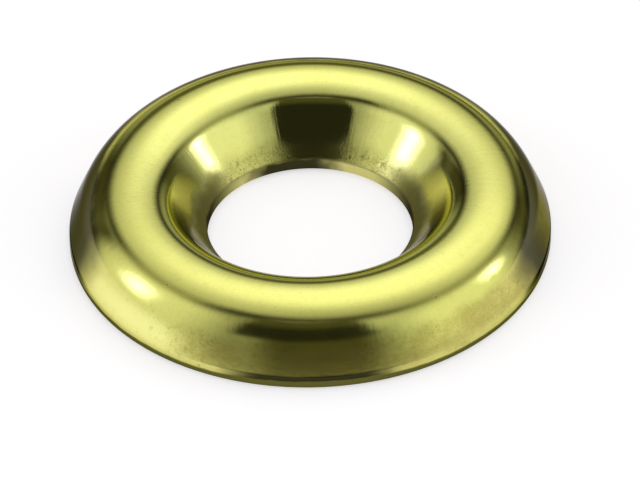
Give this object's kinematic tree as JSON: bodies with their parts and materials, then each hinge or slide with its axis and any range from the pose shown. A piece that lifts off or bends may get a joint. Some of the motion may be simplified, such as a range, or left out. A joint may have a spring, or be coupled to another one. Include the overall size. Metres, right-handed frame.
{
  "type": "finishing cup washer",
  "caption": "Pressed brass cup washer: a countersunk cone and hole for a flat-head screw, a rounded crown and a sloping skirt that stands on its rim.",
  "frame": {"origin": "centre of the base plane, on the washer's axis", "axes": "+Z along the washer's axis, from the base plane up to the crown; X and Y lie in the base plane"},
  "size_m": [0.015, 0.015, 0.0022],
  "materials": {
    "brass": "bright polished, lightly worn"
  },
  "bodies": {
    "root": {"washer": "brass"}
  },
  "joints": []
}
